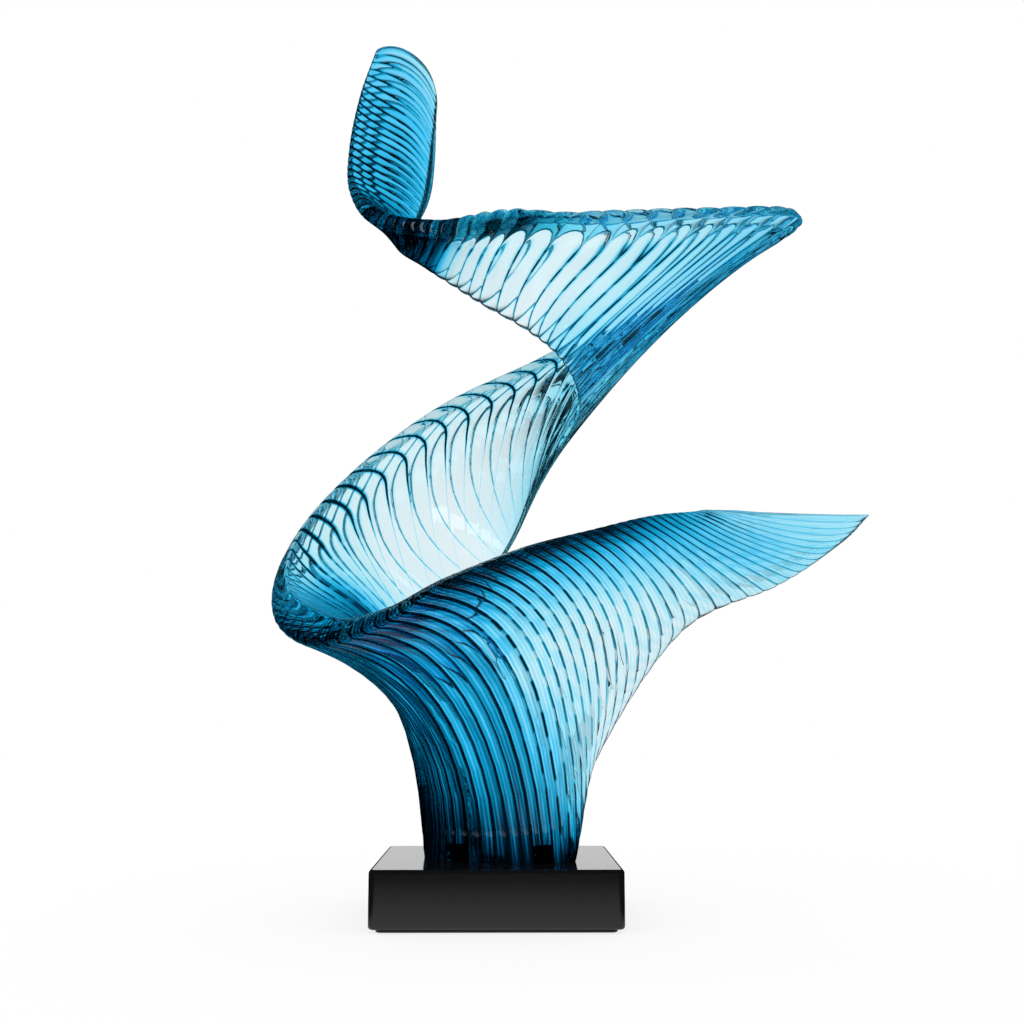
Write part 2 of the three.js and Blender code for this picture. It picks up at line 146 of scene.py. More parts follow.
# The grooves along the ribbon: the ribs by which a groove leans on the front and on the back; the shares of
# the rib in which the lean comes in from the rim and goes out to the root; how deep the groove is in the
# middle and at the root, on the front and then on the back; and how deep it is at the rim on the back. At
# the front's rim it is 1 deep.
GROOVES = np.array([
    [0, 0, 0, 0.4, 0.2, 0.6, 0.1, 0.4, 0.0, 1],
    [1, -1.2, 2.6, 0.5, 0.2, 0.6, 0.0, 0.6, 0.0, 1],
    [3, -1.2, 2.8, 0.5, 0.2, 0.75, 0.15, 0.75, 0.1, 1],
    [4, 0, 1.5, 0.5, 0.3, 0.4, 0.4, 0.4, 0.3, 1],
    [5.3, 0, 1.0, 0.35, 0.5, 0.4, 0.4, 0.3, 0.5, 1],
    [6, 0, 1.2, 0.4, 0.65, 1, 0.7, 0.3, 0.8, 1],
    [8, 0, 1.2, 0.4, 0.65, 1, 0.7, 0.3, 0.8, 1],
    [9, 0, 0.8, 0.3, 0.6, 0.35, 0.05, 0.2, 0.05, 1],
    [10, 0, 0, 0.3, 0.5, 0.35, 0.05, 0.2, 0.05, 1],
    [11, 1.0, -1.6, 0.24, 0.5, 0.4, 0.05, 0.1, 0.0, 1],
    [12, 1.5, -2.5, 0.27, 0.6, 0.7, 0.0, 0.1, 0.0, 1],
    [14, 1.5, -2.5, 0.27, 0.6, 0.7, 0.2, 0.1, 0.0, 1],
    [15, 1.2, -1.8, 0.27, 0.6, 0.7, 0.7, 0.2, 0.2, 1],
    [16, 0.5, -0.8, 0.3, 0.5, 1, 1, 0.5, 0.8, 1],
    [17, 0, -0.6, 0.3, 0.5, 1, 1, 0.5, 0.8, 0.6],
    [18.5, 0, -0.7, 0.3, 0.4, 1, 1, 0.3, 0.4, 0.15],
    [19, 0, -1.6, 0.3, 0.4, 0.9, 0.8, 0.15, 0.15, 0.1],
    [20, 0, -2.2, 0.3, 0.4, 0.8, 0.5, 0.15, 0.15, 0.1],
    [21, 0, -1.8, 0.3, 0.4, 0.8, 0.5, 0.2, 0.2, 0.1],
    [22, 0, -0.8, 0.3, 0.4, 0.6, 0.6, 0.1, 0.1, 0.1],
    [24, 0, 0, 0.3, 0.4, 0.5, 0.5, 0.1, 0.1, 0.1],
])
LEAN = (1, 2)
RIM_TURN = 3
ROOT_TURN = 4
MIDDLE_DEPTH = (5, 7)
ROOT_DEPTH = (6, 8)
BACK_RIM_DEPTH = 9

# The section along the ribbon: how round the ribs are; the power of the rim's rounding, higher for a
# squarer rim; how much of an arch each rib ends in; how far the painted lines are broken into dashes on the
# front and on the back; the painted shade along the grooves on the front and on the back, a painted
# highlight where less than none; how far the root tapers to an edge; how strong the painted bands of light
# and shade along a rib are; and the share of the root's thickness left.
SECTION = np.array([
    [0, 0.4, 2.4, 0, 0, 0.6, 0.3, 0.3, 1, 0, 1],
    [1, 0.4, 2.4, 0, 0, 0.6, 0.5, 0.8, 1, 0, 1],
    [3, 0.5, 2.4, 0, 0, 0.8, 0.6, 1.3, 0.6, 0, 1],
    [3.7, 0.15, 2.4, 0, 0, 0, 0.4, 0.4, 0.5, 0, 1],
    [5.1, 0.15, 3, 0, 0, 0, 0.6, 0.4, 0.2, 0, 0.7],
    [5.5, 0, 4, 1, 0.3, 0, 1, 0.8, 0, 0, 0.5],
    [8, 0, 4, 1, 0.4, 0, 1, 0.8, 0, 0, 0.5],
    [9, 0.05, 3, 0.5, 0, 0, 0.25, 0, 0, 0, 0.5],
    [10, 0.15, 3, 0, 0.2, 0.2, 0.25, 0, 0, 0, 0.45],
    [11, 0.1, 4, 0, 0.5, 0.2, 0.35, 0.4, 0, 0, 0.4],
    [12, 0, 5, 0, 0.4, 0, 0.9, 1.7, 0, 0, 0.35],
    [13.5, 0.05, 5, 0, 0.3, 0, 0.9, 1.7, 0, 0, 0.35],
    [15, 0.3, 3, 0, 0.6, 0.8, 0.6, 1.0, 0.2, 0.05, 0.8],
    [16, 0.8, 3, 0, 0, 0.3, 0.4, 0.2, 0, 0.1, 1],
    [17, 0.9, 2.4, 0, 0, 0.3, 0.5, -0.35, 0, 0.2, 1],
    [18.3, 0.9, 2.4, 0, 0.1, 0.5, 0.6, -0.4, 0, 0.2, 1],
    [18.8, 0.9, 2.4, 0, 0.8, 0.5, 1, -0.5, 0, 0.17, 1],
    [20, 0.7, 2.4, 0, 0.9, 0.6, 0.75, -0.5, 0.6, 0.13, 1],
    [22, 0.5, 2.4, 0, 0.4, 0.4, 0.5, -0.25, 1, 0.1, 1],
    [24, 0.4, 2.4, 0, 0, 0, 0.35, -0.2, 1, 0.06, 1],
])
ROUNDNESS = 1
RIM_POWER = 2
ARCH = 3
DASHES = (4, 5)
# Painted shade along the grooves, painted highlight where below none; front and back.
PAINTED_LINES = (6, 7)
TAPER = 8
# Painted bands of light and shade along a rib.
LIGHT_AND_SHADE_BANDS = 9
ROOT_SHARE = 10

# Where the rings lie between one groove and the next, how many points each part of a ring has, and from how
# many a rib's length is measured. The band under the rim ends at BAND_END of the rib. In it the arch's line
# stays RIM_GAP below the rim's rounding and BAND_GAP above the band's end, in shares of the rib.
RING_PHASES = np.array([0.0, 0.012, 0.03, 0.07, 0.2, 0.35, 0.5, 0.65, 0.8, 0.93, 0.97, 0.988])
CORNER_STEPS = 6
UPPER_STEPS = 3
LOWER_STEPS = 4
FACE_STEPS = 8
LENGTH_STEPS = 33
BAND_END = 0.34
RIM_GAP = 0.02
BAND_GAP = 0.03
MIDDLE = 0.5

# The steps, in stations and in shares of the rib, in which slopes are taken, and the shares within which
# they are.
STATION_STEP = 0.02
SHARE_STEP = 0.004
SLOPE_RANGE = (0.2, 0.84)

# The roundings of rim and root: the superellipse's power at a plain root and its reach in half thicknesses,
# the same two for a tapered root, and the reach for a rim over arches. Then, in mm: how far both ends of
# the ribbon are rounded, the least half thickness, and how far the foot goes below the plinth's top.
CORNER_POWER = 2.4
CORNER_REACH = 0.9
TAPER_POWER = 1.3
TAPER_REACH = 3.0
ARCH_CORNER = 0.3
END_ROUND = 1.5
HALF_LEAST = 0.5
FOOT_SINK = 0.05

# The grooves' depth and reach as shares of a rib's width, with the least and the most in mm. A groove
# between flat ribs is CUT_LEAST as large as one between round ribs. Those also fall away to the groove by
# ROUND_SHARE of their width, of which ROUND_WIDEST mm count. A groove keeps its depth at the rim for
# RIM_HOLD of the way in which its lean comes in, and LEAN_POWER is the power of the lean's curve.
GROOVE_SHARE = 0.14
GROOVE_LEAST = 0.25
GROOVE_MOST = 2.4
REACH_SHARE = 0.08
REACH_LEAST = 0.25
REACH_MOST = 1.4
CUT_LEAST = 0.3
ROUND_SHARE = 0.12
ROUND_WIDEST = 12.0
RIM_HOLD = 0.9
LEAN_POWER = 0.75

# The arches, in mm: how far under the rim their tops and their feet lie, how far from their line the next
# points lie, the reach and depth of the line, and how far rim and root are scalloped.
ARCH_HIGH = 7.0
ARCH_LOW = 28.0
ARCH_REACH = 1.0
ARCH_LINE_REACH = 0.6
ARCH_DEPTH = 0.8
SCALLOP = 2.2
ROOT_SCALLOP = 1.5

# The painted lines of shade along the grooves, painted highlight where their strength is below none: half
# width in mm for flat and for round ribs, and at most PAINTED_LINE_NARROW of the rib's width. They are
# fainter on ribs narrower than PAINTED_LINE_WIDTH mm, rise to PAINTED_LINE_GAIN before they are cut off at
# full strength, and widen towards the rim over PAINTED_LINE_RIM times the way in which the lean comes in.
# They are narrower and weaker where the groove is shallow, and their strength varies from rib to rib.
PAINTED_LINE_LEAST = 0.6
PAINTED_LINE_MOST = 1.1
PAINTED_LINE_NARROW = 0.09
PAINTED_LINE_WIDTH = 6.0
PAINTED_LINE_FAINTEST = 0.25
PAINTED_LINE_GAIN = 1.7
PAINTED_LINE_RIM = 1.6
LINE_LEAST = 0.4
LINE_POWER = 0.7
LINE_VARIES = 0.45

# The dashes: length in mm, the shares of the rib in which they come in, and the heights of their wave
# between which a gap comes in. JUMBLE shifts a value from rib to rib so that neighbours differ.
DASH_LENGTH = 20.0
DASH_FROM = (0.2, 0.4)
DASH_GAP = (-0.75, -0.25)
JUMBLE = 0.618

# How far the dye differs from rib to rib; the painted bands of light and shade along a rib and the painted
# highlight beside its groove; and the painted shade that darkens the foot, with the height in mm in which it
# thins out.
RIB_DYE = 0.12
BANDS_PER_RIB = 3
GLINT = 2.0
GLINT_PHASE = 0.93
GLINT_WIDTH = 0.03
FOOT_SHADE = 0.85
FOOT_REACH = 15.0

# The resin's colours from no dye to full dye, whose near-black end also shows the painted shade, and the
# colour and density that the depth of resin adds.
DYE_AND_SHADE_COLOURS = {
    0.001: "#f6fcff", 0.25: "#a6ecff", 0.45: "#48ccff", 0.6: "#12a8da", 0.75: "#0682b0", 0.86: "#025478",
    0.94: "#01233f", 0.999: "#000307"}
RESIN_COLOUR = "#00f1f9"
RESIN_DENSITY = 6.0
WHITE = "#ffffff"

# How far apart the felt's fibres are, and the waves of the lacquer's orange peel.
FIBRE_MM = 1.5
PEEL_MM = 5.56

# The camera, from the fit to the plinth's corners in the photo: place in metres, lens in mm, and turns in
# radians.
EYE = (0.0018, -0.868, 0.124)
LENS = 46.4
SENSOR = 36.0
CLIP_START = 0.01
TILT = math.radians(90 + 8.95)
YAW = -0.009

# The floor, in mm, and its lit patch, in metres: where the patch comes in from the front, goes out to the
# back and goes out to both sides.
FLOOR_HALF = 3000.0
FLOOR_LEVEL = -0.2
FLOOR_GLOW = 0.78
FLOOR_MATT = 0.3
PATCH_FRONT = (-0.42, -0.06)
PATCH_BACK = (-0.05, 0.1)
PATCH_SIDE = (0.09, 0.16)

# The room, by the direction looked in: white panels with dark gaps all round and a dark ceiling, as for
# photographing glass, and one white card straight behind.
PANELS = 4.0
PANEL_EDGE = (-0.4, 0.3)
GAP_LIGHT = 0.03
CEILING_EDGE = (0.45, 0.7)
CEILING_LIGHT = 0.05
CARD_BACK = (0.93, 0.985)
CARD_FOOT = (0.03, 0.08)
CARD_TOP = (0.15, 0.2)
CARD_SIDE = (0.1, 0.14)
SOFT_LIGHT = 0.75

# The softbox, in metres and watts.
SOFTBOX_SIZE = (0.1, 1.2)
SOFTBOX_WATTS = 0.8
SOFTBOX_PLACE = (-1.1, -1.0, 0.9)
SOFTBOX_AIM = (0, 0, 0.3)

# Light passes many times between the resin's faces before it leaves.
ALL_BOUNCES = 32
GLOSSY_BOUNCES = 24


def linear(hex_colour):
    """An sRGB hex colour as linear red, green, blue and alpha."""
    srgb = np.array([int(hex_colour[i:i + 2], 16) for i in (1, 3, 5)]) / 255.0
    low = srgb / 12.92
    high = ((srgb + 0.055) / 1.055) ** 2.4
    return (*np.where(srgb <= 0.04045, low, high), 1.0)


def add_node(tree, kind, settings=None, inputs=None, links=None):
    """Adds a node, with its settings, its inputs' values and the sockets linked into its inputs."""
    node = tree.nodes.new(kind)
    for name, value in (settings or {}).items():
        setattr(node, name, value)
    for name, value in (inputs or {}).items():
        node.inputs[name].default_value = value
    for name, socket in (links or {}).items():
        tree.links.new(socket, node.inputs[name])
    return node


def soft_patch(tree, edges):
    """The product of soft edges, each of which goes from low to high while a socket crosses a span."""
    patch = None
    for socket, (start, end), low, high in edges:
        edge = add_node(tree, "ShaderNodeMapRange", {"interpolation_type": "SMOOTHSTEP"}, {
            "From Min": start, "From Max": end, "To Min": low, "To Max": high}, {"Value": socket})
        patch = edge if patch is None else add_node(
            tree, "ShaderNodeMath", {"operation": "MULTIPLY"},
            links={0: patch.outputs[0], 1: edge.outputs[0]})
    return patch.outputs[0]


def new_material(name):
    """A material with an empty node tree, and that tree."""
    material = bpy.data.materials.new(name)
    material.use_nodes = True
    material.node_tree.nodes.clear()
    return material, material.node_tree


def put_material(thing, material):
    """Gives an object one material in place of those it has."""
    thing.data.materials.clear()
    thing.data.materials.append(material)


def grid_faces(rows, columns):
    """The quads of a grid of points that closes on itself along its columns, facing rows x columns."""
    row = np.arange(rows - 1)[:, None] * columns
    here = np.arange(columns)[None, :]
    after = (here + 1) % columns
    quads = np.stack([row + here, row + after, row + columns + after, row + columns + here], -1)
    return [tuple(quad) for quad in quads.reshape(-1, 4).tolist()]


def mesh_object(name, points_mm, faces):
    """A smooth-shaded object at the origin, from points in mm and faces of point numbers."""
    mesh = bpy.data.meshes.new(name)
    mesh.from_pydata((np.asarray(points_mm) * MM).tolist(), [], faces)
    mesh.update()
    mesh.polygons.foreach_set("use_smooth", np.ones(len(mesh.polygons), bool))
    thing = bpy.data.objects.new(name, mesh)
    bpy.context.scene.collection.objects.link(thing)
    return thing


def unit(v):
    """Vectors of length 1 in the directions of v."""
    return v / np.linalg.norm(v, axis=-1, keepdims=True)


def between(value, start, end):
    """How far a value has come from start to end, from 0 to 1."""
    return np.clip((value - start) / (end - start), 0, 1)


def along(table, column, t):
    """A table's column at stations t, straight from row to row."""
    return np.interp(t, table[:, STATION], table[:, column])


def station_of(rib):
    """The station at a rib number, held at the ribbon's two ends."""
    return np.interp(rib, RIB_NUMBER, STATION_INDEX)


def jumbled(number):
    """A share from 0 to 1 for each whole number, far from those of its neighbours."""
    return (JUMBLE * number) % 1


def along_rails(t):
    """The four rail points at stations t: uniform Catmull-Rom curves through the columns of POINTS."""
    padded = np.concatenate([[2 * POINTS[0] - POINTS[1]], POINTS, [2 * POINTS[-1] - POINTS[-2]]])
    first = np.clip(np.floor(t).astype(int), 0, len(POINTS) - 2)
    f = (t - first)[..., None, None]
    a, b, c, d = (padded[first + k] for k in range(4))
    square = 2 * a - 5 * b + 4 * c - d
    cube = 3 * b - a - 3 * c + d
    return 0.5 * (2 * b + (c - a) * f + square * f ** 2 + cube * f ** 3)


def down_rib(rails, s):
    """Points at shares s of the ribs: the cubic through the four rail points."""
    weights = np.stack([
        -4.5 * (s - 1 / 3) * (s - 2 / 3) * (s - 1),
        13.5 * s * (s - 2 / 3) * (s - 1),
        -13.5 * s * (s - 1 / 3) * (s - 1),
        4.5 * s * (s - 1 / 3) * (s - 2 / 3),
    ], -1)
    return np.einsum("...j,...jc->...c", weights, rails)


def half_thickness(t):
    """Half the ribbon's thickness at rim and root, the root's with the share of it that is left."""
    rim = np.interp(t, STATION_INDEX, RIM_HALF)
    root = np.interp(t, STATION_INDEX, ROOT_HALF) * along(SECTION, ROOT_SHARE, t)
    return rim, root


def ring_layout():
    """The rings round the ribbon: the rib number of each, and where its points lie down the rib.

    There is a ring at each of RING_PHASES past every groove, and both end rings are there twice. Down the
    rib come the rim's rounding, the band, the face and the root's rounding. Both roundings are
    superellipses, which give the share of the thickness that is full at each point. The band holds one row
    for the arches: on each rib it follows an ellipse that is highest between two grooves. Where there are
    no arches the row lies in the band's middle.
    """
    rib = (np.arange(RIB_COUNT)[:, None] + RING_PHASES).ravel()
    rib = np.concatenate([[0.0], rib, [RIB_COUNT, RIB_COUNT]])[:, None]
    phase = rib - np.floor(rib)
    hollow = (1 - 2 * phase) ** 2
    station = station_of(rib)
    fine = down_rib(along_rails(station), np.linspace(0, 1, LENGTH_STEPS)[None, :])
    length = np.linalg.norm(np.diff(fine, axis=1), axis=-1).sum(1)[:, None]

    arch = along(SECTION, ARCH, station)
    taper = along(SECTION, TAPER, station)
    rim_half, root_half = half_thickness(station)
    rim_edge = 2 / along(SECTION, RIM_POWER, station)
    root_edge = 2 / (CORNER_POWER - (CORNER_POWER - TAPER_POWER) * np.minimum(taper, 1))
    rim_reach = CORNER_REACH + (ARCH_CORNER - CORNER_REACH) * arch
    root_reach = CORNER_REACH + (TAPER_REACH - CORNER_REACH) * taper
    angle = np.linspace(0, math.pi / 2, CORNER_STEPS + 1)
    run = np.maximum(np.cos(angle), 0)
    s_rim = rim_reach * rim_half / length * (1 - run ** rim_edge)
    s_root = 1 - root_reach * root_half / length * (1 - run ** root_edge)[:, ::-1]

    rim_end = s_rim[:, -1:]
    band_end = np.maximum(BAND_END, rim_end + RIM_GAP)
    band_middle = (rim_end + band_end) / 2
    arch_line = ARCH_LOW - (ARCH_LOW - ARCH_HIGH) * np.sqrt(1 - hollow)
    s_arch = band_middle + arch * (arch_line / length - band_middle)
    s_arch = np.clip(s_arch, rim_end + RIM_GAP, band_end - BAND_GAP)
    upper = np.linspace(0, 1, UPPER_STEPS + 1)[1:]
    lower = np.linspace(0, 1, LOWER_STEPS + 2)[:-1]
    part = np.linspace(0, 1, FACE_STEPS + 2)[:-1]
    s_over = rim_end * (1 - upper) + (s_arch - ARCH_REACH / length) * upper
    s_under = (s_arch + ARCH_REACH / length) * (1 - lower) + band_end * lower
    s_face = band_end * (1 - part) + s_root[:, :1] * part
    flat = np.concatenate([s_over, s_arch, s_under, s_face], 1)
    s = np.concatenate([s_rim, flat, s_root], 1)
    share = np.concatenate(
        [np.sin(angle) ** rim_edge, np.ones_like(flat), (np.sin(angle) ** root_edge)[:, ::-1]], 1)
    return SimpleNamespace(
        rib=rib, phase=phase, hollow=hollow, station=station, length=length,
        s=s, share=share, s_arch=s_arch)


def groove_strength(rings, face):
    """How deep the grooves are: as at the rim, then changing to the middle and from there to the root."""
    at_rim = along(GROOVES, BACK_RIM_DEPTH, rings.station) if face == BACK else 1.0
    in_middle = along(GROOVES, MIDDLE_DEPTH[face], rings.station)
    at_root = along(GROOVES, ROOT_DEPTH[face], rings.station)
    hold = RIM_HOLD * along(GROOVES, RIM_TURN, rings.station)
    to_middle = between(rings.s, hold, MIDDLE)
    to_root = between(rings.s, MIDDLE, 1)
    return at_rim + (in_middle - at_rim) * to_middle + (at_root - in_middle) * to_root


def face_grooves(rings, face):
    """Where the points of one face lie along the ribbon, and the grooves there.

    A ring leans: between rim and root it lies some ribs along the ribbon, by an amount that comes in from the
    rim and goes out to the root in a rounded curve. The width is that of a whole rib at the point. An arch's
    line is on the front only.
    """
    s = rings.s
    off_rim = np.clip(1 - s / along(GROOVES, RIM_TURN, rings.station), 0, 1)
    off_root = np.clip(1 - (1 - s) / along(GROOVES, ROOT_TURN, rings.station), 0, 1)
    amount = (1 - off_rim ** 2) ** LEAN_POWER * (1 - off_root ** 2) ** LEAN_POWER
    rib = np.clip(rings.rib + along(GROOVES, LEAN[face], rings.station) * amount, 0, RIB_COUNT)
    t = station_of(rib)
    crests = [down_rib(along_rails(station_of(rib + half)), s) for half in (0.5, -0.5)]
    width = np.linalg.norm(crests[0] - crests[1], axis=-1)
    from_groove = np.minimum(rings.phase, 1 - rings.phase) * width
    from_arch = (s - rings.s_arch) * rings.length
    on_arch = np.exp(-(from_arch / ARCH_LINE_REACH) ** 2) if face == FRONT else np.zeros_like(s)
    return SimpleNamespace(
        t=t, width=width, from_groove=from_groove, on_arch=on_arch, strength=groove_strength(rings, face),
        rounding=along(SECTION, ROUNDNESS, t), arch=along(SECTION, ARCH, t))


def face_points(rings, grooves, side):
    """The points of one face, in mm, and how high the middle surface is at each.

    The middle surface is the cubic rib at station t, share s. The face stands off it by the half thickness,
    which runs straight from rim to root and is rounded off at both, less the groove's depth. That falls off
    as an exponential from the groove, with a parabola between grooves for round ribs. Where there are
    arches their line is cut in too, and rim and root are scalloped. The end rings are thinner and lie
    further out, which rounds the ends.
    """
    s = rings.s
    from_rim = s * rings.length
    cut = CUT_LEAST + (1 - CUT_LEAST) * grooves.rounding
    depth = grooves.strength * cut * np.clip(GROOVE_SHARE * grooves.width, GROOVE_LEAST, GROOVE_MOST)
    reach = cut * np.clip(REACH_SHARE * grooves.width, REACH_LEAST, REACH_MOST)
    sag = grooves.strength * ROUND_SHARE * grooves.rounding * np.minimum(grooves.width, ROUND_WIDEST)
    groove = depth * np.exp(-grooves.from_groove / reach) + sag * rings.hollow
    scallop = SCALLOP * np.clip(1 - from_rim / ARCH_LOW, 0, 1)
    scallop = scallop + ROOT_SCALLOP * np.clip(1 - (rings.length - from_rim) / ARCH_HIGH, 0, 1)
    groove = groove + grooves.arch * (ARCH_DEPTH * grooves.on_arch + scallop * rings.hollow)

    bounded = np.clip(s, *SLOPE_RANGE)
    rails = along_rails(grooves.t)
    ahead = along_rails(np.minimum(grooves.t + STATION_STEP, STATION_INDEX[-1]))
    behind = along_rails(np.maximum(grooves.t - STATION_STEP, 0))
    across = unit(down_rib(ahead, bounded) - down_rib(behind, bounded))
    down = down_rib(rails, bounded + SHARE_STEP) - down_rib(rails, bounded - SHARE_STEP)
    normal = unit(np.cross(down, across))

    ends = np.zeros_like(rings.rib)
    ends[0] = -END_ROUND
    ends[-1] = END_ROUND
    inward = np.where(s < MIDDLE, 1, -1)
    s_cut = s + inward * (1 - rings.share) * groove / rings.length
    middle = down_rib(rails, s_cut) + across * ends[..., None]
    rim_half, root_half = half_thickness(grooves.t)
    straight = rim_half * (1 - s) + root_half * s
    half = rings.share * np.maximum(straight - groove - np.abs(ends), HALF_LEAST)
    return middle + side * normal * half[..., None], middle[..., 2]


def face_looks(rings, grooves, face, height):
    """The dye and painted light at the points of one face, the painted lines, how broken they are, and the
    dashes' wave.

    The dye, with its painted shade, goes straight between DYE_AND_SHADE_SHARES of the rib, and the rim's dark
    band of painted shade reaches down to the arches where they are. A painted line is shade along the groove,
    and a highlight where its strength is below none; it is a bell curve across the groove, cut off at full
    strength. Over the arches it gives way to their own painted line of shade. Painted bands of light and
    shade run along each rib, with a painted highlight beside its groove, and painted shade darkens the foot.
    """
    s = rings.s
    t = grooves.t
    from_rim = s * rings.length
    # The painted lines: painted shade along each groove, and a painted highlight where the strength is below
    # none.
    near_rim = np.clip(1 - s / (PAINTED_LINE_RIM * along(GROOVES, RIM_TURN, rings.station)), 0, 1)
    reach = (PAINTED_LINE_LEAST + (PAINTED_LINE_MOST - PAINTED_LINE_LEAST) * grooves.rounding) * (1 + near_rim)
    reach = reach * (LINE_LEAST + (1 - LINE_LEAST) * grooves.strength)
    reach = np.minimum(reach, PAINTED_LINE_NARROW * grooves.width)
    bell = np.minimum(PAINTED_LINE_GAIN * np.exp(-(grooves.from_groove / reach) ** 2), 1)
    line = along(SECTION, PAINTED_LINES[face], t) * grooves.strength ** LINE_POWER * bell
    line = line * np.clip(grooves.width / PAINTED_LINE_WIDTH, PAINTED_LINE_FAINTEST, 1)
    line = line * (1 - grooves.arch * np.clip((ARCH_LOW - from_rim) / ARCH_HIGH, 0, 1))
    line = line * (1 - LINE_VARIES * grooves.rounding * jumbled(np.round(rings.rib)))
    # Along the arches the painted line of shade is their own.
    line = np.maximum(line, grooves.arch * grooves.on_arch)

    # The dye, with painted shade in it: the dark bands along the rim and the fold under the lobe.
    dyes_and_shade = [along(DYE_AND_SHADE, column, t) for column in DYE_AND_SHADE_COLUMNS]
    below_band = s + grooves.arch * (np.maximum(s, DYE_AND_SHADE_SHARES[1]) - s)
    dye_and_painted_light = dyes_and_shade[0]
    for here, after, start, end in zip(dyes_and_shade, dyes_and_shade[1:], DYE_AND_SHADE_SHARES, DYE_AND_SHADE_SHARES[1:]):
        dye_and_painted_light = dye_and_painted_light + (after - here) * between(below_band, start, end)
    # Down to the arches comes the rim's dark band of painted shade.
    above = np.clip((rings.s_arch - s) * rings.length / ARCH_REACH + 0.5, 0, 1)
    if face == BACK:
        above = above * (1 - rings.share ** 2)
    dye_and_painted_light = dye_and_painted_light + grooves.arch * above * (dyes_and_shade[0] - dye_and_painted_light)
    of_rib = RIB_DYE * dye_and_painted_light * (2 * jumbled(np.floor(rings.rib)) - 1)
    # Painted bands of light and shade along each rib, and a painted highlight beside its groove.
    glint = np.exp(-((rings.phase - GLINT_PHASE) / GLINT_WIDTH) ** 2)
    light_and_shade_bands = along(SECTION, LIGHT_AND_SHADE_BANDS, t) * (np.cos(BANDS_PER_RIB * 2 * math.pi * rings.phase) - GLINT * glint)
    # Painted shade that darkens the foot, most where it stands on the plinth.
    foot = FOOT_SHADE * np.exp(-np.maximum(height - SEAT, 0) / FOOT_REACH)
    return {
        "dye_and_painted_light": np.clip(dye_and_painted_light + of_rib + light_and_shade_bands * (1 - bell) + foot, 0, 1),
        "line": line,
        "broken": along(SECTION, DASHES[face], t) * between(s, *DASH_FROM),
        "dash": from_rim / DASH_LENGTH + JUMBLE * np.round(rings.rib)}


def joined(front, back):
    """Values down the front and then up the back, without the back's points at rim and root."""
    return np.concatenate([front, back[:, -2:0:-1]], 1)


def ribbon_points():
    """Rings of points down the front from rim to root and up the back, with the looks at each."""
    rings = ring_layout()
    points = []
    looks = []
    for face, side in ((FRONT, 1), (BACK, -1)):
        grooves = face_grooves(rings, face)
        of_face, height = face_points(rings, grooves, side)
        points.append(of_face)
        looks.append(face_looks(rings, grooves, face, height))
    front, back = looks
    return joined(*points), {name: joined(front[name], back[name]) for name in front}


def cap_faces(ring_start, around, turned):
    """A strip of quads across one end ring, from the front points to the back points opposite them."""
    k = np.arange(around // 2)
    front = ring_start + k
    front_after = ring_start + k + 1
    back = ring_start + (around - k) % around
    back_after = ring_start + (around - k - 1)
    quads = np.stack([front, back, back_after, front_after], -1)
    faces = [tuple(dict.fromkeys(q)) for q in quads.tolist()]
    return [f[::-1] if turned else f for f in faces]


def make_ribbon():
    """The ribbon: its rings, closed at both ends, and cut flat where the foot stands on the plinth."""
    rings, looks = ribbon_points()
    count, around, _ = rings.shape
    faces = grid_faces(count, around)
    faces += cap_faces(0, around, False)
    faces += cap_faces((count - 1) * around, around, True)
    ribbon = mesh_object("cast_resin_ribbon", rings.reshape(-1, 3), faces)
    for name, values in looks.items():
        ribbon.data.attributes.new(name, "FLOAT", "POINT").data.foreach_set("value", values.ravel())
    shape = bmesh.new()
    shape.from_mesh(ribbon.data)
    everything = shape.verts[:] + shape.edges[:] + shape.faces[:]
    cut = bmesh.ops.bisect_plane(
        shape, geom=everything, plane_co=(0, 0, (SEAT - FOOT_SINK) * MM), plane_no=(0, 0, -1),
        clear_outer=True)
    rim = [e for e in cut["geom_cut"] if isinstance(e, bmesh.types.BMEdge)]
    foot = bmesh.ops.edgenet_fill(shape, edges=rim)
    for face in foot["faces"]:
        face.smooth = False
    bmesh.ops.recalc_face_normals(shape, faces=shape.faces[:])
    shape.to_mesh(ribbon.data)
    shape.free()
    return ribbon


def felt_sheet():
    """A square sheet with round corners and a soft edge.

    Points round a square are pulled onto the corners' arcs. Rings of them run up the edge on a half circle
    whose radius is half the sheet's thickness, and the cut edge wanders in and out a little, as pressed felt
    does.
    """
    side = np.linspace(-1, 1, FELT_SIDE_STEPS, endpoint=False)
    one = np.ones_like(side)
    sides = ((side, -one), (one, side), (-side, one), (-one, -side))
    square = np.concatenate([np.stack(xy, -1) for xy in sides])
    half = FELT_SIDE / 2
    inner = np.clip(square * half, -(half - PLINTH_CORNER), half - PLINTH_CORNER)
    outward = unit(square * half - inner)
    around = np.linspace(0, 2 * math.pi, len(square), endpoint=False)[:, None]
    nap = FELT_NAP * sum(np.sin(waves * around + start) for waves, start in FELT_WAVES)
    climb = np.linspace(-math.pi / 2, math.pi / 2, FELT_EDGE_STEPS)[:, None, None]
    bulge = (FELT_THICKNESS / 2 + nap) * np.cos(climb)
    flat = inner + outward * (PLINTH_CORNER - FELT_THICKNESS / 2 + bulge)
    height = np.broadcast_to(FELT_THICKNESS / 2 * (1 + np.sin(climb)), flat.shape[:2] + (1,))
    points = np.concatenate([flat, height], -1)
    rings, count = points.shape[:2]
    faces = grid_faces(rings, count)
    faces += [tuple(range(count))[::-1], tuple(range((rings - 1) * count, rings * count))]
    return mesh_object("pressed_felt_sheet", points.reshape(-1, 3), faces)


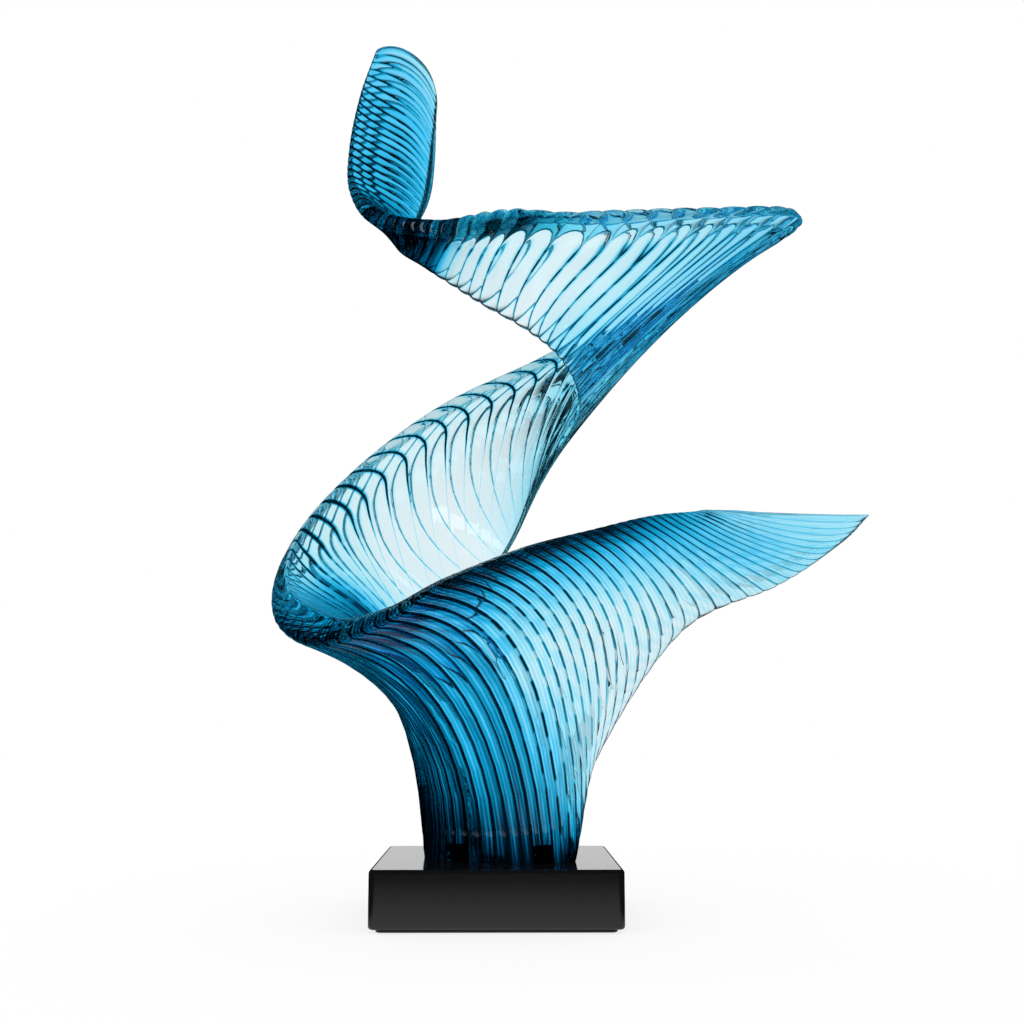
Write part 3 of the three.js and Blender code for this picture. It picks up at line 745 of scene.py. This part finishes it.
def two_shades(tree, dark, light, spacing_mm, detail):
    """Two colours in soft patches of about the given size, fixed to the object."""
    coord = add_node(tree, "ShaderNodeTexCoord")
    patches = add_node(tree, "ShaderNodeTexNoise", inputs={"Scale": 1 / (spacing_mm * MM), "Detail": detail},
                       links={"Vector": coord.outputs["Object"]})
    shade = add_node(tree, "ShaderNodeMix", {"data_type": "RGBA"},
                     {"A": linear(dark), "B": linear(light)}, {"Factor": patches.outputs["Fac"]})
    return shade.outputs["Result"]


def felt_material():
    """Pressed wool felt, dyed black: dull, with paler fibres, drawn 1.5 mm apart so that they show."""
    material, tree = new_material("pressed_black_felt")
    shade = two_shades(tree, "#121213", "#2e2e30", FIBRE_MM, detail=3.0)
    wool = add_node(tree, "ShaderNodeBsdfPrincipled", inputs={"Roughness": 1.0, "Sheen Weight": 0.3},
                    links={"Base Color": shade})
    add_node(tree, "ShaderNodeOutputMaterial", links={"Surface": wool.outputs[0]})
    return material


def metal_material(name, dark, light, patch_mm, roughness):
    """A finished metal: two close shades in soft patches, as plating and blackening leave them."""
    material, tree = new_material(name)
    shade = two_shades(tree, dark, light, patch_mm, detail=2.0)
    metal = add_node(tree, "ShaderNodeBsdfPrincipled", inputs={"Metallic": 1.0, "Roughness": roughness},
                     links={"Base Color": shade})
    add_node(tree, "ShaderNodeOutputMaterial", links={"Surface": metal.outputs[0]})
    return material


def resin_material():
    """Cast clear resin, dyed blue: glossy, clear where there is little dye, near black where shade is painted
    in.

    The dye with its painted light and shade, the painted lines and the gaps between dashes come from the
    ribbon's own attributes. The depth of resin that the light goes through adds a little more blue.
    """
    material, tree = new_material("cast_blue_resin")
    dye_and_painted_light, line, broken, dash = (
        add_node(tree, "ShaderNodeAttribute", {"attribute_name": name}).outputs["Fac"]
        for name in ("dye_and_painted_light", "line", "broken", "dash"))
    turns = add_node(tree, "ShaderNodeMath", {"operation": "MULTIPLY"}, {1: 2 * math.pi}, {0: dash})
    wave = add_node(tree, "ShaderNodeMath", {"operation": "SINE"}, links={0: turns.outputs[0]})
    low, high = DASH_GAP
    gap = add_node(tree, "ShaderNodeMapRange", inputs={
        "From Min": low, "From Max": high, "To Min": 1.0, "To Max": 0.0}, links={"Value": wave.outputs[0]})
    lost = add_node(tree, "ShaderNodeMath", {"operation": "MULTIPLY"}, links={0: broken, 1: gap.outputs[0]})
    kept = add_node(tree, "ShaderNodeMath", {"operation": "SUBTRACT"}, {0: 1.0}, {1: lost.outputs[0]})
    # The painted lines, shade in the grooves and highlight where below none, go onto the dye and its painted
    # light, less in the dashes' gaps.
    tint = add_node(tree, "ShaderNodeMath", {"operation": "MULTIPLY_ADD", "use_clamp": True},
                    links={0: line, 1: kept.outputs[0], 2: dye_and_painted_light})
    colour = add_node(tree, "ShaderNodeValToRGB", links={"Fac": tint.outputs[0]})
    stops = colour.color_ramp.elements
    for place, shade in DYE_AND_SHADE_COLOURS.items():
        stops.new(place).color = linear(shade)
    stops.remove(stops[0])
    stops.remove(stops[-1])
    glass = add_node(tree, "ShaderNodeBsdfPrincipled", inputs={
        "Roughness": 0.015, "IOR": 1.52, "Transmission Weight": 1.0},
        links={"Base Color": colour.outputs["Color"]})
    depth = add_node(tree, "ShaderNodeVolumeAbsorption", inputs={
        "Color": linear(RESIN_COLOUR), "Density": RESIN_DENSITY})
    add_node(tree, "ShaderNodeOutputMaterial", links={
        "Surface": glass.outputs[0], "Volume": depth.outputs[0]})
    return material


def lacquer_material():
    """Black lacquer sprayed on fibreboard and polished: near black, mirror-like, with a faint orange peel."""
    material, tree = new_material("polished_black_lacquer")
    coord = add_node(tree, "ShaderNodeTexCoord")
    peel = add_node(tree, "ShaderNodeTexNoise", inputs={"Scale": 1 / (PEEL_MM * MM), "Detail": 2.0},
                    links={"Vector": coord.outputs["Object"]})
    bump = add_node(tree, "ShaderNodeBump", inputs={"Strength": 0.03, "Distance": 0.5 * MM},
                    links={"Height": peel.outputs["Fac"]})
    gloss = add_node(tree, "ShaderNodeBsdfPrincipled", inputs={
        "Base Color": linear("#141516"), "Roughness": 0.1, "IOR": 1.5}, links={"Normal": bump.outputs[0]})
    add_node(tree, "ShaderNodeOutputMaterial", links={"Surface": gloss.outputs[0]})
    return material


def floor_material():
    """Matt pale paper that runs into the white background and takes the shadow.

    The camera and the clear resin see it glow all over. Other rays see only the lit patch, under the plinth
    and in front of it, which lightens the plinth's polished front. Mirrored rays don't see the matt paper
    itself.
    """
    material, tree = new_material("pale_floor")
    ray = add_node(tree, "ShaderNodeLightPath").outputs
    coord = add_node(tree, "ShaderNodeTexCoord")
    place = add_node(tree, "ShaderNodeSeparateXYZ", links={"Vector": coord.outputs["Object"]}).outputs
    across = add_node(tree, "ShaderNodeMath", {"operation": "ABSOLUTE"}, links={0: place["X"]})
    patch = soft_patch(tree, (
        (place["Y"], PATCH_FRONT, 0.0, 1.0),
        (place["Y"], PATCH_BACK, 1.0, 0.0),
        (across.outputs[0], PATCH_SIDE, 1.0, 0.0)))
    seen = add_node(tree, "ShaderNodeMath", {"operation": "MAXIMUM"},
                    links={0: ray["Is Camera Ray"], 1: ray["Is Transmission Ray"]})
    bright = add_node(tree, "ShaderNodeMath", {"operation": "MAXIMUM"}, links={0: seen.outputs[0], 1: patch})
    glow = add_node(tree, "ShaderNodeMath", {"operation": "MULTIPLY"}, {1: FLOOR_GLOW},
                    {0: bright.outputs[0]})
    white = add_node(tree, "ShaderNodeEmission", inputs={"Color": linear(WHITE)},
                     links={"Strength": glow.outputs[0]})
    matt = add_node(tree, "ShaderNodeMath", {"operation": "MULTIPLY_ADD"}, {1: -FLOOR_MATT, 2: FLOOR_MATT},
                    {0: ray["Is Glossy Ray"]})
    paper = add_node(tree, "ShaderNodeBsdfDiffuse", links={"Color": matt.outputs[0]})
    both = add_node(tree, "ShaderNodeAddShader", links={0: white.outputs[0], 1: paper.outputs[0]})
    add_node(tree, "ShaderNodeOutputMaterial", links={"Surface": both.outputs[0]})
    return material


def studio_world():
    """The room: white to the camera, panels through the resin, the card in mirrors, soft light otherwise."""
    world = bpy.data.worlds.new("studio")
    world.use_nodes = True
    tree = world.node_tree
    tree.nodes.clear()
    ray = add_node(tree, "ShaderNodeLightPath").outputs
    coord = add_node(tree, "ShaderNodeTexCoord")
    way = add_node(tree, "ShaderNodeSeparateXYZ", links={"Vector": coord.outputs["Generated"]}).outputs
    turn = add_node(tree, "ShaderNodeMath", {"operation": "ARCTAN2"}, links={0: way["X"], 1: way["Y"]})
    turns = add_node(tree, "ShaderNodeMath", {"operation": "MULTIPLY"}, {1: PANELS}, {0: turn.outputs[0]})
    wave = add_node(tree, "ShaderNodeMath", {"operation": "COSINE"}, links={0: turns.outputs[0]})
    panels = soft_patch(tree, (
        (wave.outputs[0], PANEL_EDGE, GAP_LIGHT, 1.0),
        (way["Z"], CEILING_EDGE, 1.0, CEILING_LIGHT)))
    across = add_node(tree, "ShaderNodeMath", {"operation": "ABSOLUTE"}, links={0: way["X"]})
    card = soft_patch(tree, (
        (way["Z"], CARD_FOOT, 0.0, 1.0),
        (way["Z"], CARD_TOP, 1.0, 0.0),
        (across.outputs[0], CARD_SIDE, 1.0, 0.0),
        (way["Y"], CARD_BACK, 0.0, 1.0)))
    mirrored = add_node(tree, "ShaderNodeMix", {"data_type": "FLOAT"}, {"A": SOFT_LIGHT},
                        {"Factor": ray["Is Glossy Ray"], "B": card})
    through = add_node(tree, "ShaderNodeMix", {"data_type": "FLOAT"}, links={
        "Factor": ray["Is Transmission Ray"], "A": mirrored.outputs[0], "B": panels})
    seen = add_node(tree, "ShaderNodeMix", {"data_type": "FLOAT"}, {"B": 1.0},
                    {"Factor": ray["Is Camera Ray"], "A": through.outputs[0]})
    sky = add_node(tree, "ShaderNodeBackground", inputs={"Color": linear(WHITE)},
                   links={"Strength": seen.outputs[0]})
    add_node(tree, "ShaderNodeOutputWorld", links={"Surface": sky.outputs[0]})
    return world


ribbon = make_ribbon()
put_material(ribbon, resin_material())
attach(ribbon, "root")
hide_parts("resin_ribbon")

felt = felt_sheet()
put_material(felt, felt_material())
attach(felt, "root")
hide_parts("felt_sheet")

put_material(NODES["plinth"], lacquer_material())
zinc = metal_material("zinc_plated_steel", "#9ba1a6", "#c6c9c8", patch_mm=3.0, roughness=0.32)
blackened = metal_material("blackened_brass", "#1d1a17", "#3a342c", patch_mm=2.0, roughness=0.5)
for name in ("left", "right"):
    for kind in ("fixing_screw", "flat_washer", "spring_washer"):
        put_material(NODES[f"{kind}_{name}"], zinc)
    put_material(NODES[f"threaded_insert_{name}"], blackened)

scene = bpy.context.scene
camera_data = bpy.data.cameras.new("camera")
camera_data.lens = LENS
camera_data.sensor_width = SENSOR
camera_data.clip_start = CLIP_START
camera = bpy.data.objects.new("camera", camera_data)
camera.location = EYE
camera.rotation_euler = (TILT, 0, YAW)
scene.collection.objects.link(camera)
scene.camera = camera

scene.view_settings.view_transform = "Standard"
scene.cycles.max_bounces = ALL_BOUNCES
scene.cycles.glossy_bounces = GLOSSY_BOUNCES
scene.cycles.transmission_bounces = ALL_BOUNCES
scene.world = studio_world()

square = ((-1, -1), (1, -1), (1, 1), (-1, 1))
corners = [(x * FLOOR_HALF, y * FLOOR_HALF, FLOOR_LEVEL) for x, y in square]
floor = mesh_object("floor", corners, [(0, 1, 2, 3)])
put_material(floor, floor_material())

# One tall softbox at the front left, for the thin white lines on the ribs.
lamp = bpy.data.lights.new("softbox", "AREA")
lamp.shape = "RECTANGLE"
lamp.size, lamp.size_y = SOFTBOX_SIZE
lamp.energy = SOFTBOX_WATTS
box = bpy.data.objects.new("softbox", lamp)
box.location = SOFTBOX_PLACE
toward = Vector(SOFTBOX_AIM) - box.location
box.rotation_euler = toward.to_track_quat("-Z", "Y").to_euler()
scene.collection.objects.link(box)
